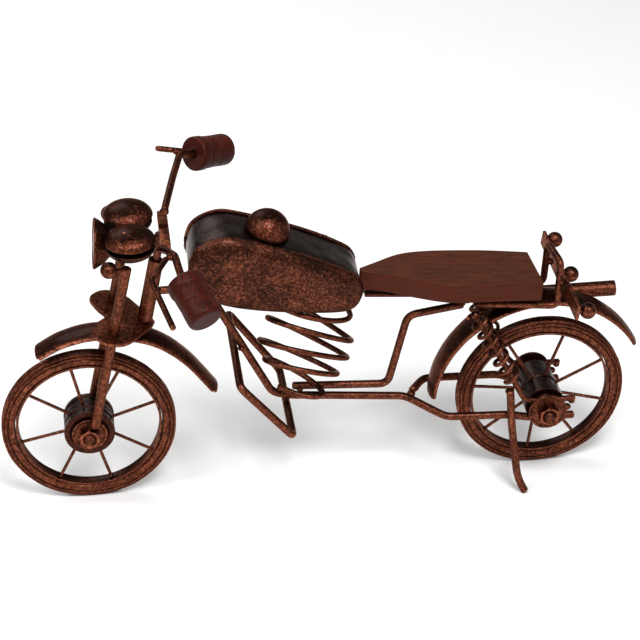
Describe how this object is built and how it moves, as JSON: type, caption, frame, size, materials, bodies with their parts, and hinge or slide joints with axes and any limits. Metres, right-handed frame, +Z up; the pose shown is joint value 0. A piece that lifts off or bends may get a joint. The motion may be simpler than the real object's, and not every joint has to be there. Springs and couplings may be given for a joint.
{
  "type": "model motorcycle",
  "caption": "Decorative model motorcycle of bent and welded iron rod and sheet, with spoked wheels that spin, steering, a wooden seat board and turned wooden grips.",
  "frame": {"origin": "on the ground, under the middle of the whole machine", "axes": "+Z up, the machine faces -X, its left side and side stand are -Y; it leans 2.5 degrees to its left onto the stand"},
  "size_m": [0.3414, 0.17, 0.1812],
  "materials": {
    "coppered_iron": "black enamel rubbed with antique copper, glossy",
    "black_iron": "black enamel with a little copper, glossy",
    "speckled_copper": "speckled antique copper enamel, satin",
    "seat_wood": "red-brown hardwood, thin satin lacquer",
    "grip_wood": "dark red-brown turned wood"
  },
  "bodies": {
    "frame": {"rear_axle_bolt": "coppered_iron", "rear_axle_nut": "coppered_iron", "rear_washer_left": "coppered_iron", "rear_washer_right": "coppered_iron", "head_tube": "coppered_iron", "main_frame_rod": "coppered_iron", "chain_stay_right": "coppered_iron", "seat_rod": "coppered_iron", "foot_guard": "coppered_iron", "seat_rail_hoop": "coppered_iron", "seat_strip": "black_iron", "tank_band": "black_iron", "tank_side_left": "speckled_copper", "tank_side_right": "speckled_copper", "tank_cap": "coppered_iron", "engine_coil_upper": "coppered_iron", "engine_coil_lower": "coppered_iron", "seat_board": "seat_wood", "rear_fender": "coppered_iron", "shock_rod_left": "coppered_iron", "shock_spring_left": "coppered_iron", "shock_rod_right": "coppered_iron", "shock_spring_right": "coppered_iron", "side_stand": "coppered_iron", "tail_bar": "coppered_iron", "tail_ball_left": "coppered_iron", "tail_ball_middle": "coppered_iron", "tail_ball_right": "coppered_iron", "exhaust_pipe": "coppered_iron"},
    "steering": {"front_axle_bolt": "coppered_iron", "front_axle_nut": "coppered_iron", "front_washer_left": "coppered_iron", "front_washer_right": "coppered_iron", "steering_stem": "coppered_iron", "clamp_plate": "coppered_iron", "fork_leg_left": "coppered_iron", "fork_leg_right": "coppered_iron", "front_fender": "coppered_iron", "fender_post": "black_iron", "gauge_dome_left": "coppered_iron", "gauge_dish_left": "black_iron", "gauge_dome_right": "coppered_iron", "gauge_dish_right": "black_iron", "headlamp_bowl": "coppered_iron", "headlamp_face": "black_iron", "signal_ball_left": "coppered_iron", "signal_ball_right": "coppered_iron", "handlebar_yoke": "coppered_iron", "handlebar_arm_left": "coppered_iron", "lever_left": "coppered_iron", "grip_left": "grip_wood", "handlebar_arm_right": "coppered_iron", "lever_right": "coppered_iron", "grip_right": "grip_wood"},
    "front_wheel": {"front_tyre": "coppered_iron", "front_spoked_rim": "coppered_iron", "front_hub": "black_iron"},
    "rear_wheel": {"rear_tyre": "coppered_iron", "rear_spoked_rim": "coppered_iron", "rear_hub": "black_iron"}
  },
  "joints": [
    {"name": "steering", "type": "hinge", "parent": "frame", "child": "steering", "pos_m": [-0.0924, 0.00476, 0.10795], "axis": [0.2079, -0.0427, 0.9772], "range_deg": [-35, 35]},
    {"name": "front_wheel_spin", "type": "hinge", "parent": "steering", "child": "front_wheel", "pos_m": [-0.1247, 0.00746, 0.04601], "axis": [0, 0.999, 0.0436], "continuous": true},
    {"name": "rear_wheel_spin", "type": "hinge", "parent": "frame", "child": "rear_wheel", "pos_m": [0.1186, 0.00746, 0.04601], "axis": [0, 0.999, 0.0436], "continuous": true}
  ]
}
